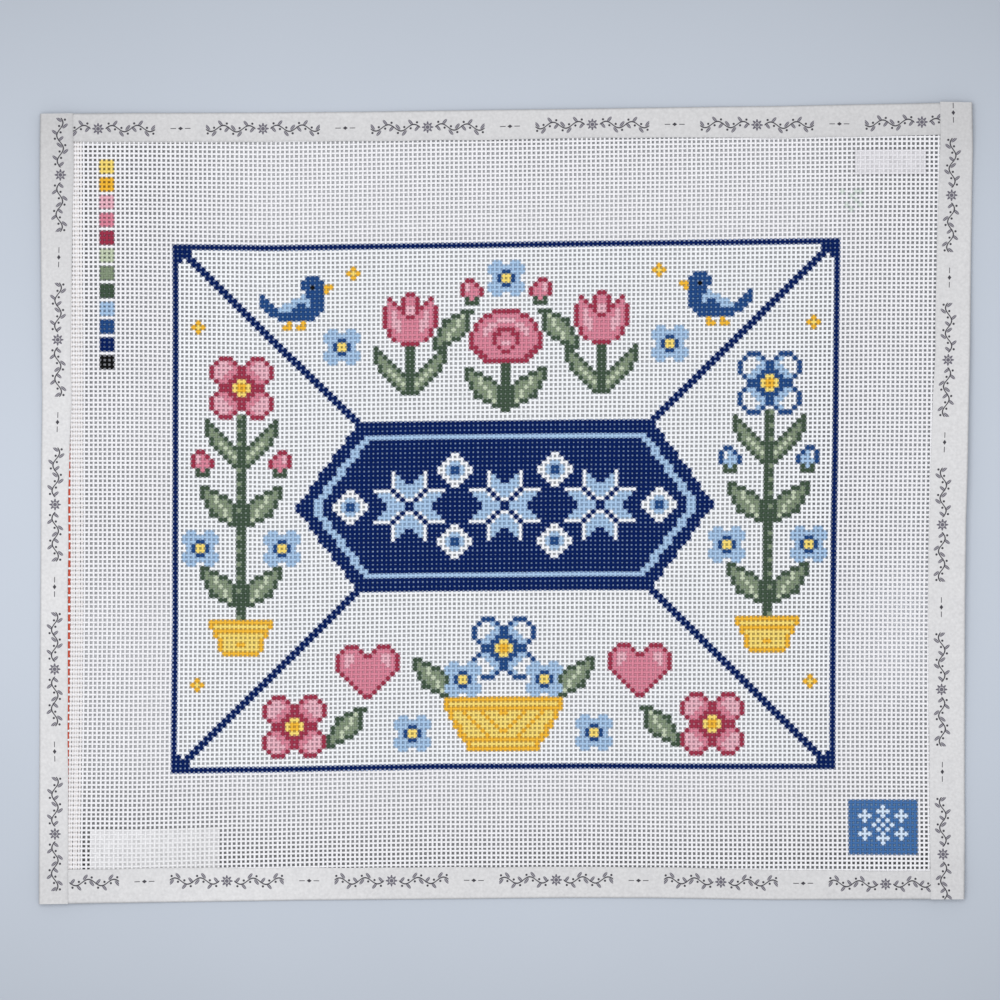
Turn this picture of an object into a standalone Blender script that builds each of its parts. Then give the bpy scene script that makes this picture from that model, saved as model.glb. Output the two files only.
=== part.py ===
"""A needlepoint canvas panel that lies flat on its back, in metres, +Z up.

One sheet of open canvas has a tape folded lengthwise over each of its four edges. The top and
bottom tapes go on first. The left and right tapes then cover their ends, so that the corners
hold six layers. Every layer is a thin solid, a small gap from the next one.

+X runs along the rows from left to right and +Y goes up the design. The origin lies below the
middle of the panel, on the surface that the panel rests on.
"""

import math
from collections import namedtuple

import bmesh
import bpy

MM = 0.001

# Driving sizes, in millimetres unless they say otherwise.
CLOTH = 1.0  # thickness of the canvas and of the tape
GAP = 0.3  # between two layers that touch
TAPE = 25.4  # width of the tape, unfolded
HALF_WIDTH = 201.7  # half the panel's width, before its edges wander
HALF_HEIGHT = 173.0  # half its height, likewise
RAMP_START = 16.5  # from an edge: past here no tape lies under or over the canvas
RAMP_END = 26.0  # from an edge: here the canvas has come down to the surface
FOLD_DEPTH = 1.6  # how far the round fold of a tape reaches in
FOLD_SEGMENTS = 8
SHARP_ANGLE = 40.0  # degrees between faces, past which an edge is a crease
COLUMNS = 16  # grid cells between the edge zones, from left to right
ROWS = 13  # grid cells between the edge zones, from bottom to top

LAYER = CLOTH + GAP
EDGE_STEPS = (8.5, RAMP_START, 21.25, RAMP_END)  # grid lines near an edge, after the first

# An edge of the panel, row by row: the place along it, how far out it lies from the middle,
# and how far the tape reaches in over the canvas.
Edge = namedtuple("Edge", "along out front")
TOP = (
    Edge(-201.0, 168.6, 12.2),
    Edge(-150.0, 168.9, 12.3),
    Edge(-45.0, 169.1, 12.5),
    Edge(0.0, 169.7, 12.7),
    Edge(41.0, 170.9, 12.9),
    Edge(127.0, 171.4, 13.1),
    Edge(188.0, 172.6, 13.3),
    Edge(201.0, 172.4, 13.5),
)
BOTTOM = (
    Edge(-201.0, 173.0, 14.8),
    Edge(-131.0, 171.3, 14.1),
    Edge(-45.0, 171.3, 13.3),
    Edge(41.0, 170.0, 12.7),
    Edge(84.0, 170.9, 12.4),
    Edge(188.0, 170.8, 11.7),
    Edge(201.0, 170.4, 11.6),
)
LEFT = (
    Edge(-173.0, 200.8, 12.7),
    Edge(-85.0, 200.8, 12.1),
    Edge(-42.0, 201.6, 11.7),
    Edge(2.0, 200.5, 11.5),
    Edge(45.0, 199.6, 12.4),
    Edge(88.0, 200.5, 13.2),
    Edge(152.0, 200.4, 14.3),
    Edge(173.0, 200.8, 14.5),
)
RIGHT = (
    Edge(-173.0, 197.9, 14.3),
    Edge(-128.0, 198.2, 15.0),
    Edge(-42.0, 198.3, 15.8),
    Edge(2.0, 198.9, 15.8),
    Edge(45.0, 200.0, 15.4),
    Edge(66.0, 200.7, 15.1),
    Edge(110.0, 200.9, 14.6),
    Edge(153.0, 201.7, 13.9),
    Edge(173.0, 201.3, 13.7),
)

# Where the panel stands a little off the surface: the highest place, its height there and how
# far it takes to come down again in x and in y.
Lift = namedtuple("Lift", "x y height reach_x reach_y")
LIFTS = (
    Lift(206.0, 5.0, 3.2, 112.0, 150.0),
    Lift(204.0, 176.0, 1.2, 95.0, 90.0),
    Lift(200.0, -176.0, 1.1, 90.0, 90.0),
    Lift(-206.0, 112.0, 2.2, 105.0, 130.0),
    Lift(-204.0, -176.0, 0.9, 75.0, 70.0),
    Lift(20.0, 176.0, 0.9, 110.0, 60.0),
)

# The four tapes: the edge that each one covers and how far its end stands past the panel's
# top edge. Only those that run up the sides have ends that show.
Tape = namedtuple("Tape", "name edge side upright overrun")
TAPES = (
    Tape("tape_top", TOP, 1, False, 0.0),
    Tape("tape_bottom", BOTTOM, -1, False, 0.0),
    Tape("tape_left", LEFT, -1, True, 0.0),
    Tape("tape_right", RIGHT, 1, True, 0.4),
)

# A grid line: how far it lies in from the low edge, and its share of the width between the
# two edge zones.
Line = namedtuple("Line", "inset share")

CANVAS_LOOK = ((0.86, 0.87, 0.88), 0.9)  # colour and roughness
TAPE_LOOK = ((0.80, 0.80, 0.82), 0.75)


def read(rows, along, column):
    """A column of an edge's table at any place along the edge."""
    low = rows[0]
    if along <= low.along:
        return getattr(low, column)
    for high in rows[1:]:
        if along <= high.along:
            share = (along - low.along) / (high.along - low.along)
            return getattr(low, column) * (1 - share) + getattr(high, column) * share
        low = high
    return getattr(low, column)


def lift(x, y):
    """The height of the panel's underside above the surface, without its tapes."""
    height = 0.0
    for bump in LIFTS:
        away_x = min(1.0, abs(x - bump.x) / bump.reach_x)
        away_y = min(1.0, abs(y - bump.y) / bump.reach_y)
        height += bump.height * (1 - away_x**2) ** 2 * (1 - away_y**2) ** 2
    return height


def ramp(inset):
    """1 in the zone of a tape and 0 where the canvas lies on the surface."""
    return min(1.0, max(0.0, (RAMP_END - inset) / (RAMP_END - RAMP_START)))


def lines(first, count):
    """The grid lines from one edge to the other, the first one that far in."""
    steps = (first, *EDGE_STEPS)
    low = [Line(step, 0.0) for step in steps]
    middle = [Line(RAMP_END, k / count) for k in range(1, count)]
    high = [Line(2 * RAMP_END - step, 1.0) for step in reversed(steps)]
    return low + middle + high


def between(low, high, line):
    """Where a grid line lies between two edges."""
    return low + line.inset + (high - low - 2 * RAMP_END) * line.share


def to_x(column, y):
    return between(-read(LEFT, y, "out"), read(RIGHT, y, "out"), column)


def to_y(row, x):
    return between(-read(BOTTOM, x, "out"), read(TOP, x, "out"), row)


def end_ramp(line):
    """The ramp of a grid line, from whichever edge is nearer."""
    nearest = line.inset if line.share < 0.5 else 2 * RAMP_END - line.inset
    return ramp(nearest) if line.share in (0.0, 1.0) else 0.0


def material(name, look):
    colour, roughness = look
    made = bpy.data.materials.new(name)
    made.use_nodes = True
    shader = made.node_tree.nodes["Principled BSDF"]
    shader.inputs["Base Color"].default_value = (*colour, 1.0)
    shader.inputs["Roughness"].default_value = roughness
    shader.inputs["Metallic"].default_value = 0.0
    made.diffuse_color = (*colour, 1.0)
    return made


def add_object(name, points, faces, look):
    """One closed solid from points in millimetres, its faces turned outwards."""
    shape = bmesh.new()
    corners = [shape.verts.new((x * MM, y * MM, z * MM)) for x, y, z in points]
    for face in faces:
        shape.faces.new([corners[k] for k in face])
    bmesh.ops.recalc_face_normals(shape, faces=shape.faces)
    mesh = bpy.data.meshes.new(name)
    shape.to_mesh(mesh)
    shape.free()
    mesh.shade_smooth()
    mesh.set_sharp_from_angle(angle=math.radians(SHARP_ANGLE))
    mesh.materials.append(material(name, look))
    made = bpy.data.objects.new(name, mesh)
    bpy.context.collection.objects.link(made)
    return made


def add_canvas():
    """The sheet: a grid of points on its underside, the same on its face, and a rim."""
    columns = lines(LAYER, COLUMNS)
    rows = lines(LAYER, ROWS)
    under = []
    for row in rows:
        for column in columns:
            x = to_x(column, to_y(row, between(-HALF_WIDTH, HALF_WIDTH, column)))
            y = to_y(row, x)
            z = lift(x, y) + LAYER * (end_ramp(column) + end_ramp(row))
            under.append((x, y, z))
    face = [(x, y, z + CLOTH) for x, y, z in under]
    wide, count = len(columns), len(under)
    faces = []
    for j in range(len(rows) - 1):
        for i in range(wide - 1):
            a = j * wide + i
            quad = (a, a + 1, a + wide + 1, a + wide)
            faces.append(tuple(reversed(quad)))
            faces.append(tuple(k + count for k in quad))
    last = count - wide
    rim = list(range(wide)) + [j * wide + wide - 1 for j in range(1, len(rows))]
    rim += [last + i for i in range(wide - 2, -1, -1)]
    rim += [j * wide for j in range(len(rows) - 2, 0, -1)]
    for a, b in zip(rim, rim[1:] + rim[:1]):
        faces.append((a, b, b + count, a + count))
    return add_object("canvas", under + face, faces, CANVAS_LOOK)


def section(front, low, high):
    """A folded tape cut across: pairs of distance in from the edge and height, from the end of
    the front leg round the fold to the end of the back leg, and back inside."""
    middle, half = (low + high) / 2, (high - low) / 2
    outside = [(front, high)]
    for k in range(FOLD_SEGMENTS + 1):
        turn = math.pi * k / FOLD_SEGMENTS
        outside.append((FOLD_DEPTH * (1 - math.sin(turn)), middle + half * math.cos(turn)))
    back = TAPE - front
    outside.append((back, low))
    inside = [(back, low + CLOTH), (CLOTH, low + CLOTH), (CLOTH, high - CLOTH)]
    inside.append((front, high - CLOTH))
    return outside + inside


def add_tape(tape):
    """A strip with its section at each grid line that crosses it."""
    if tape.upright:
        stops = lines(0.0, ROWS)
        stops[-1] = Line(stops[-1].inset + tape.overrun, 1.0)
    else:
        stops = lines(LAYER, COLUMNS)
    half = HALF_HEIGHT if tape.upright else HALF_WIDTH
    points = []
    for stop in stops:
        rough = between(-half, half, stop)
        covered = end_ramp(stop) * LAYER
        # Within the ramp a side tape also spans the two legs of the tape that it covers.
        low = 0.0 if tape.upright else covered
        high = 2 * LAYER + CLOTH + (2 * covered if tape.upright else covered)
        for inset, height in section(read(tape.edge, rough, "front"), low, high):
            across = tape.side * (read(tape.edge, rough, "out") - inset)
            x, y = (across, to_y(stop, across)) if tape.upright else (to_x(stop, across), across)
            points.append((x, y, lift(x, y) + height))
    around = len(points) // len(stops)
    faces = [tuple(range(around))]
    faces.append(tuple(range(len(points) - 1, len(points) - 1 - around, -1)))
    for j in range(len(stops) - 1):
        for k in range(around):
            a, b = j * around + k, j * around + (k + 1) % around
            faces.append((a, b, b + around, a + around))
    return add_object(tape.name, points, faces, TAPE_LOOK)


def main():
    for old in list(bpy.data.objects):
        bpy.data.objects.remove(old, do_unlink=True)
    add_canvas()
    for tape in TAPES:
        add_tape(tape)


main()
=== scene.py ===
"""The looks of a needlepoint canvas panel that lies flat, in the frame of its solids.

The canvas is woven thread by thread: warps run up the panel and wefts run across it, each one
over and under the others in turn. Its paint is a chart with one colour for each crossing. The
tapes are thin folded shells with a printed vine. Places are in millimetres until a mesh is made.
"""

import math
from collections import namedtuple
from functools import partialmethod
from itertools import product

import bpy
import numpy as np
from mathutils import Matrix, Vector


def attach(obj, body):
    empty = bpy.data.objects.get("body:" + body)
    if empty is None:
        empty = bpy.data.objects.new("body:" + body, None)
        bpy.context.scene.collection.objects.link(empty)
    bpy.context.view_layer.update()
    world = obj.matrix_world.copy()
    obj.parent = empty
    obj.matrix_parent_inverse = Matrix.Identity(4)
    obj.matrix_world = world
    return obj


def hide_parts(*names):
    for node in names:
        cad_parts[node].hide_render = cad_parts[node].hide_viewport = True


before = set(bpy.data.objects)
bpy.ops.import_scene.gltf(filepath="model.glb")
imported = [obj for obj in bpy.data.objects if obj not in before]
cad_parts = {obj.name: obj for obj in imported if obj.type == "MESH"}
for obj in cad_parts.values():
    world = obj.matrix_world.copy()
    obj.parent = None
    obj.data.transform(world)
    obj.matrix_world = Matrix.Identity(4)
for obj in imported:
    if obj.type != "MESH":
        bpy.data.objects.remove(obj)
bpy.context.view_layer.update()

MM = 0.001


def table(kind, text):
    """A table of numbers, a row a line, in named columns."""
    return tuple(kind(*map(float, line.split())) for line in text.strip().splitlines())


# ---- the panel

# An edge of the panel, row by row: the place along it, how far out it lies from the middle,
# and how far the tape reaches in over the canvas.
Edge = namedtuple("Edge", "along out front")
TOP = table(Edge, """
-201  168.2    12
-166  168.6  12.4
-100  168.9  12.6
 -60 169.25  12.7
 -11 169.92 12.97
  41 170.57 12.57
  93 171.42 13.42
 119 171.72 13.92
 150 172.32 14.02
 188 172.97 13.77
 201 172.72 13.72
""")
BOTTOM = table(Edge, """
-201 172.85 14.65
-140 172.07 14.77
 -89 171.33 14.03
 -37 170.87 13.77
  28 170.25 13.45
  67 170.33 13.33
 119  171.1  12.9
 188 170.74 12.14
 201 170.68 12.08
""")
LEFT = table(Edge, """
-173 201.23 12.73
-128 201.18 12.53
 -89 201.03 12.23
 -50 200.73 11.93
   8 200.43 11.93
  47 199.88 12.68
  86 200.13 12.83
 125 200.48 13.88
 144 200.83 14.58
 173 200.63 14.33
""")
RIGHT = table(Edge, """
-173 198.31 14.71
-145 198.61 15.21
-128 198.51 15.31
 -42 198.51 16.01
  -9 198.91 15.96
  10 199.51 16.11
  45 200.21 15.61
  66 200.71 15.11
 110 201.26 14.96
 153 202.06 14.26
 173 201.71 14.11
""")

# The four lines that the weave is laid out between. They follow the edges of the panel, but
# the tapes wander more than the threads do.
Line = namedtuple("Line", "along out")
WEAVE_TOP = table(Line, """
-164 168.7
 -99 168.5
 160 172.3
""")
WEAVE_BOTTOM = table(Line, """
-160 173.8
-117 172.3
 -73 171.3
 -30 170.6
  35 170.4
  78 170.8
 180 171.1
""")
# How far the wefts half way up rise.
WEAVE_BOW = table(Line, """
-160 1.3
-105   0
""")
WEAVE_LEFT = table(Line, """
-150  201.4
-106 200.75
 -50  200.1
  90  200.2
 150  200.5
""")
WEAVE_RIGHT = table(Line, """
-150  199.2
-100  198.7
 -55 198.85
 -11  199.3
  32  200.1
  75  200.6
 140  201.5
""")

# Where the panel stands a little off the surface: the highest place, its height there and how
# far it takes to come down again in x and in y.
Lift = namedtuple("Lift", "x y height reach_x reach_y")
LIFTS = table(Lift, """
 206    5 3.2 112 150
 204  176 1.2  95  90
 200 -176 1.1  90  90
-206  112 2.2 105 130
-204 -176 0.9  75  70
  20  176 0.9 110  60
""")

HALF_WIDTH = 201.7  # half the panel's width, before its edges wander
HALF_HEIGHT = 173.0  # half its height, likewise
TAPE = 25.4  # width of the tape, unfolded
TAPE_THICK = 0.4
CANVAS_THICK = 0.55
SLACK = 0.05  # between two layers
STEP = TAPE_THICK + SLACK  # what one more leg of a tape adds to the pile
PILE = 2 * TAPE_THICK + CANVAS_THICK + 2 * SLACK  # height of an edge away from the corners
RIPPLE = 0.12  # height of the small waves that every layer follows

# The canvas
WARP_PITCH = 0.004909  # share of the panel's width from one warp to the next
WARP_START = 0.456  # from the weave's left line to where warp 0 would lie, in pitches
WEFT_PITCH = 0.005654  # share of the panel's height from one weft to the next
WEFT_START = 0.66  # from the weave's bottom line to where weft 0 would lie, in pitches
WARPS = range(9, 203)
WEFTS = range(2, 176)
SELVEDGE_COUNT = 15  # close warps at the left edge
SELVEDGE_PITCH = 1.08
SELVEDGE_LAST = 17.37  # from the weave's left line to the close warp that lies furthest in
TRACER = 5  # the coloured warp, counted from that one towards the edge
RAW_EDGE = 1.3  # from an edge of the panel to the ends of the threads
LAID_START = 15.5  # from an edge: past here no tape lies under the canvas
LAID_END = 26.0  # from an edge: here the canvas has come down to the surface
THREAD_RISE = 0.12  # of a thread's middle line over and under the canvas's middle
THREAD_HALF = 0.13  # half its height
# A thread cut across: out to its right and up, in halves of its width and height.
THREAD_SECTION = ((1.0, 0.0), (0.66, 1.0), (-0.66, 1.0), (-1.0, 0.0), (0.0, -1.0))
UPPER = (0.6, 1.0, 1.0, 0.6, 0.0)  # how much each of these corners is on the painted side
WIDE_OVER = 0.485  # half its width where it passes over another thread
WIDE_UNDER = 0.46  # half its width where it passes under one
CLOSE_HALF = 0.54  # half the width of a close warp
PINCH = (0.4, 0.5, 0.6)  # where, between two wefts, a close warp has a section of its own
PINCH_HALF = (0.53, 0.45, 0.53)  # half its width there, which leaves a pinhole
DRAWN_IN_SHADE = (0.0, 0.0, 1.0, 0.0)  # how dark the painted shade line across the close warps is there
PAINT_ADDS = 0.04  # to half the width of a painted thread
THICK_ADDS = 0.11  # the same again where thick dark paint has pooled between threads
THICK_PAINTS = "nbdc"
PAINT_REACH = 0.12  # of a pitch: how far paint runs past half way to an unpainted crossing
STRAY_FIXED = 0.03  # how far a whole thread strays to its side: a spread
STRAY_SHAKE = 0.013  # the same from crossing to crossing
STRAY_WAVE = 0.05  # how far it strays in a slow wave
STRAY_LENGTHS = (60, 160)  # of that wave, at least and at most
UNEVEN_THREAD = 0.022  # spread of the threads' widths, as a share
UNEVEN_CROSSING = 0.016  # the same along one thread
UNEVEN_PINCH = 0.02  # the same along a close warp
FILM_LEVEL = 0.05  # of dried paint over the middle of the canvas
FILM_SAG = (0.05, 0.3)  # how far it hangs in the middle of a hole, at least and at most
FILM_SIDE = 0.7  # how thin it is at a hole's sides, as a share of how thin in its middle
FILM_UNEVEN = 0.05  # spread of how thin it is from hole to hole
PASSED_LEVEL = 0.03  # of the coloured light over the floor
PASSED_LEAST = 0.62  # how light it is at least
SCREEN_LIGHT = np.array([0.299, 0.587, 0.114])  # how light red, green and blue look on a screen
SEED = 13

# The tapes
FOLD_REACH = 0.9  # how far the round fold reaches in
FOLD_SEGMENTS = 8
STATION = 2.5  # from one section to the next
EDGE_WAVE = 0.07  # of the leg over the canvas, along its edge
END_INSET = 0.9  # from the panel's edge to the ends of the top and bottom tapes
LEG_SHARES = (0.88, 0.74, 0.6, 0.46, 0.32, 0.18, 0.08)  # sections of the leg over the canvas
BACK_SHARES = (0.3, 0.65, 1.0)  # and of the one under it, as shares of their lengths
WORN_DROP, WORN_TRIM = 0.14, 0.16  # how far the edge of the tape is rounded off
COVER_START, COVER_END = 0.3, 3.5  # past a leg's edge, where the tape over it comes down
SHARP_ANGLE = 50.0  # degrees between faces, past which an edge is a crease
MAP_ROWS = 4

# The place and the camera, in metres and watts
VIEW_WIDTH = 0.432
VIEW_MIDDLE = (-0.00216, 0.00156)
COVERED_COLOUR = (201, 203, 207)  # painted light on the floor below the canvas, on a screen
FLOOR_HALF = 2.0
ROOM_COLOUR = (0.975, 0.985, 1.0, 1.0)
ROOM_STRENGTH = 0.62
LAMP_PLACE = (-0.25, 0.15, 1.85)
LAMP_SIZE = 1.8
LAMP_POWER = 23.0
LAMP_COLOUR = (1.0, 0.99, 0.975)
SENSOR = 36.0
CAMERA_HEIGHT = 2.4

random = np.random.default_rng(SEED)


def lookup(rows, along, column="out"):
    """A column of a table at a place between its rows."""
    return np.interp(along, [row.along for row in rows], [getattr(row, column) for row in rows])


def smooth(share):
    share = np.clip(share, 0.0, 1.0)
    return share * share * (3 - 2 * share)


def ramp(inset, start, end):
    """1 up to the start, 0 from the end on."""
    return smooth((end - inset) / (end - start))


def lift(x, y):
    """The height of the panel's underside above the surface, without its tapes."""
    height = np.zeros(np.broadcast(x, y).shape)
    for bump in LIFTS:
        away_x = np.minimum(1.0, np.abs(x - bump.x) / bump.reach_x)
        away_y = np.minimum(1.0, np.abs(y - bump.y) / bump.reach_y)
        height += bump.height * (1 - away_x**2) ** 2 * (1 - away_y**2) ** 2
    return height


def ripple(x, y):
    """Small waves, never below 0."""
    waves = np.sin(x / 7.1 + 1.3 * np.sin(y / 23.0)) + np.sin(y / 8.3 + 1.1 * np.sin(x / 19.0))
    return RIPPLE / 4 * (2 + waves)


def side_inset(x, y):
    """How far a place lies in from the nearer of the left and right edges."""
    return np.minimum(x + lookup(LEFT, y), lookup(RIGHT, y) - x)


def end_inset(x, y):
    """How far a place lies in from the nearer of the bottom and top edges."""
    return np.minimum(y + lookup(BOTTOM, x), lookup(TOP, x) - y)


def canvas_under(x, y):
    """The underside of the canvas. It is stiff with size and spans from tape to tape, one leg
    of tape above the surface, or two legs where the tapes cross in the corners."""
    side = ramp(side_inset(x, y), LAID_START, LAID_END)
    end = ramp(end_inset(x, y), LAID_START, LAID_END)
    return lift(x, y) + STEP * (1 + side * end)


# ---- the design

# The paints: a letter for the charts and its colour on a screen.
PAINTS = {
    ".": (234, 234, 238),  # bare thread
    "w": (236, 238, 242),
    "y": (238, 212, 116),
    "g": (234, 180, 58),
    "p": (226, 177, 190),
    "r": (210, 130, 150),
    "c": (150, 50, 72),
    "m": (189, 200, 176),
    "s": (126, 141, 117),
    "d": (62, 80, 64),
    "l": (163, 192, 223),
    "b": (30, 68, 124),
    "n": (0, 27, 86),
    "k": (12, 13, 15),
    "u": (66, 108, 163),  # the ground of the small patch
    "v": (206, 222, 240),  # and the motif on it
    "z": (214, 222, 218),  # a faint smudge
    "f": (222, 221, 226),  # the white of the upper blank
    "h": (229, 229, 232),  # the white of the lower one
    "e": (229, 226, 227),  # thread of the selvedge
}
CODES = "".join(PAINTS)
code = CODES.index

# Motifs, from the top row down. Most are halves or quarters that are mirrored.
CHARTS = {
    "star": """
....w...
....wl..
....wll.
....wlll
wwww.wll
.lllw.wl
..lllw.w
...llll.
""",
    "diamond": """
...w
..ww
.wwl
wwlb
""",
    "blossom": """
..ccc..
.cpprc.
cpppprc
cppprrc
cpprrcc
.crrccy
..cccyg
""",
    "daisy": """
.ll.
llll
lllb
.lby
""",
    "rose": """
.....ccc
...ccrrr
..crrrpp
.crrpprr
.crpprcc
crrprccr
crrrrcrr
crrrrcrp
ccrrrrcr
.ccrrrrc
..ccrrrr
...ccccc
""",
    "tulip": """
.......c
...c..cr
...rc.cr
..crrccp
..crprcp
..crprrc
..crpprr
..crpprr
...crprr
...crrrr
....crrr
......cc
""",
    "heart": """
..ccc..
.crrrc.
crpprrc
crpprrr
crprrrr
crrrrrr
.crrrrr
..crrrr
...crrr
....crr
.....cr
......c
""",
    "bird": """
..........bbb....
.........bbbbb...
.........bbkbbgg.
..........bbbbg..
b........lbbbb...
bb.....llllbbb...
bbb..lllbblbbb...
.bbblllbbbbbbb...
..bbbbbbbbbbb....
....bbbbbbbb.....
......g..g.......
.....gg.gg.......
""",
    "leaf": """
dd.......
dsdd.....
dssmdd...
.dsmssd..
.dssmssd.
..dssmsd.
..ddsmsd.
....ddmd.
......ddd
""",
    "blade": """
d.......
dd......
dsd.....
dssd....
.dssd...
.dsmsd..
..dsmsd.
...dsmsd
....dsmd
.....dsd
......dd
""",
    "bud": """
..cc..
.cprc.
.cprrc
.crrrc
..drd.
..ddd.
""",
    "pot": """
ggggggg
gyyyyyy
.gggggg
.gyyyyy
..gyyyy
..gyyyg
..gyyyy
...gggg
""",
    "basket": """
ggggggggggggg
gyyyyyyyyyyyy
ggggggggggggg
.gyygyyygyyyg
.gyyygyyygyyy
..gyyygyyygyy
..ggyyygyyygy
...gyyyygyyyg
...ggyyyygyyy
....ggggggggg
.....gyyyyyyy
.....gggggggg
""",
    "cross": """
.g.
gyg
.g.
""",
    "sprig": """
......w......
..w..www..w..
.www..w..www.
..w..w.w..w..
....w.w.w....
..w..w.w..w..
.www..w..www.
..w..www..w..
......w......
""",
}

HALVES = ("rose", "tulip", "heart", "pot", "basket")  # charts of a left half
QUARTERS = ("star", "diamond", "blossom", "daisy")  # charts of a top left quarter
BLUE = ("crp", "blw")  # the reds and what they become in a blue motif

DESIGN_LEFT, DESIGN_BOTTOM = 29, 29  # the first warp and weft with paint
DESIGN_WIDE, DESIGN_TALL = 146, 118  # in threads
HALF_WIDE = DESIGN_WIDE // 2
CORNER_FILL = 4  # of the dark triangle in each corner of the frame
MITRE_END = 40  # rows from an end to where the line from the corner stops
FIELD_POINT = 46.0  # from the middle to the point of the six-sided field
FIELD_SLOPE = 13.5 / 18.5  # how much that field narrows for each row up
# What that field is painted with in turn: half the height, how far in it lies, and the paint.
LAYERS = ((18.5, 0.0, "n"), (15.5, 3.2, "l"), (14.5, 5.2, "n"))

# The motifs in the order of painting: the left column and lowest row, the left column of a
# mirror image beside it, and whether it is upside down or blue. First those of the left half.
Motif = namedtuple("Motif", "name left low twin turned blue", defaults=(None, False, False))
HALF_MOTIFS = (
    Motif("leaf", 6, 37, 15), Motif("leaf", 6, 55, 15),
    Motif("blade", 7, 68, 15),
    Motif("pot", 8, 26),
    Motif("blossom", 8, 79),
    Motif("daisy", 2, 46), Motif("daisy", 20, 46),
    Motif("bud", 3, 66, 21),
    Motif("blade", 44, 84, 52),
    Motif("tulip", 44, 95),
    Motif("bird", 19, 99),
    Motif("heart", 36, 16),
    Motif("blossom", 20, 3),
    Motif("leaf", 34, 5, turned=True),
    Motif("daisy", 33, 91), Motif("daisy", 49, 4),
    Motif("cross", 4, 18), Motif("cross", 4, 98), Motif("cross", 38, 110),
    Motif("star", 44, 51),
    Motif("diamond", 35, 55), Motif("diamond", 58, 63), Motif("diamond", 58, 47),
)
MIDDLE_MOTIFS = (
    Motif("leaf", 64, 81, 73),
    Motif("leaf", 57, 94, 80, turned=True),
    Motif("bud", 62, 104, 78),
    Motif("rose", 65, 91),
    Motif("daisy", 69, 106),
    Motif("star", 65, 51),
    Motif("basket", 60, 4),
    Motif("leaf", 53, 16, 84),
    Motif("blossom", 66, 20, blue=True),
    Motif("daisy", 60, 16), Motif("daisy", 78, 16),
)
Stem = namedtuple("Stem", "left low high")
PLANT_STEM = Stem(14, 34, 80)
TULIP_STEM = Stem(51, 84, 96)
ROSE_STEM = Stem(72, 80, 92)
RIGHT_FIELD = np.s_[20:100, 118:145]  # the rows and columns whose motifs are blue

KEY_COLOURS = "ygprcmsdlbnk"
KEY_LEFT, KEY_TOP, KEY_STEP, KEY_SIDE = 13, 163, 4, 3
PATCH_LEFT, PATCH_BOTTOM, PATCH_WIDE, PATCH_TALL = 178, 10, 15, 12
# Paint that closes the holes: first and last hole across, first and last one up, how thin it
# is in the middle of the top left hole and of the bottom right one, and its letter.
# Where the film is thin it is drawn darker, as painted shade of the hole below.
Filled = namedtuple("Filled", "left right low high thin letter")
FILLED = (
    Filled(178, 192, 161, 165, (0.27, 0.33), "f"),
    Filled(11, 38, 7, 15, (0.22, 0.62), "h"),
    Filled(13, 14, 139, 140, (0.1, 0.1), "w"),
)
SMUDGE = (  # warp and weft
    (176, 154), (177, 156), (178, 155), (179, 157), (179, 154), (175, 157), (178, 157), (177, 153)
)


def chart(name, swap=("", "")):
    """A motif as a grid of codes, its lowest row first."""
    grid = np.array([[code(letter) for letter in row] for row in CHARTS[name].split()])
    if name in HALVES + QUARTERS:
        grid = np.hstack([grid, grid[:, ::-1]])
    if name in QUARTERS:
        grid = np.vstack([grid, grid[::-1]])
    return recoloured(grid, *swap)[::-1]


def recoloured(grid, old, new):
    made = grid.copy()
    for before, after in zip(old, new):
        made[grid == code(before)] = code(after)
    return made


def stamp(design, grid, left, low):
    """Paints a motif with its bottom left corner there, over what is there already."""
    tall, wide = grid.shape
    under = design[low : low + tall, left : left + wide]
    under[grid > 0] = grid[grid > 0]


def paint_lines(half):
    """The frame, the lines from its corners to the middle field, and that field."""
    navy = code("n")
    rows, columns = np.mgrid[0:DESIGN_TALL, 0:HALF_WIDE]
    from_end = np.minimum(rows, DESIGN_TALL - 1 - rows)
    half[(from_end == 0) | (columns == 0) | (columns + from_end <= CORNER_FILL)] = navy
    half[(from_end <= MITRE_END) & ((from_end == columns) | (from_end == columns - 1))] = navy
    up = np.abs(rows - (DESIGN_TALL - 1) / 2)
    out = (DESIGN_WIDE - 1) / 2 - columns
    reach = FIELD_POINT - FIELD_SLOPE * up
    for high, inset, letter in LAYERS:
        half[(up <= high) & (out <= reach - inset)] = code(letter)


def paint_stem(design, stem):
    design[stem.low : stem.high, stem.left : stem.left + 2] = code("d")


def paint_motifs(design, motifs):
    for motif in motifs:
        grid = chart(motif.name, BLUE if motif.blue else ("", ""))
        if motif.turned:
            grid = grid[::-1]
        stamp(design, grid, motif.left, motif.low)
        if motif.twin is not None:
            stamp(design, grid[:, ::-1], motif.twin, motif.low)


def make_design():
    """The left half, its mirror image, and what stands in the middle."""
    half = np.zeros((DESIGN_TALL, HALF_WIDE), int)
    paint_lines(half)
    paint_stem(half, PLANT_STEM)
    half[PLANT_STEM.low : PLANT_STEM.high : 3, PLANT_STEM.left] = code("s")
    paint_stem(half, TULIP_STEM)
    paint_motifs(half, HALF_MOTIFS)
    design = np.hstack([half, half[:, ::-1]])
    paint_stem(design, ROSE_STEM)
    paint_motifs(design, MIDDLE_MOTIFS)
    design[RIGHT_FIELD] = recoloured(design[RIGHT_FIELD], *BLUE)
    return np.where(design == 0, code("w"), design)


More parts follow.
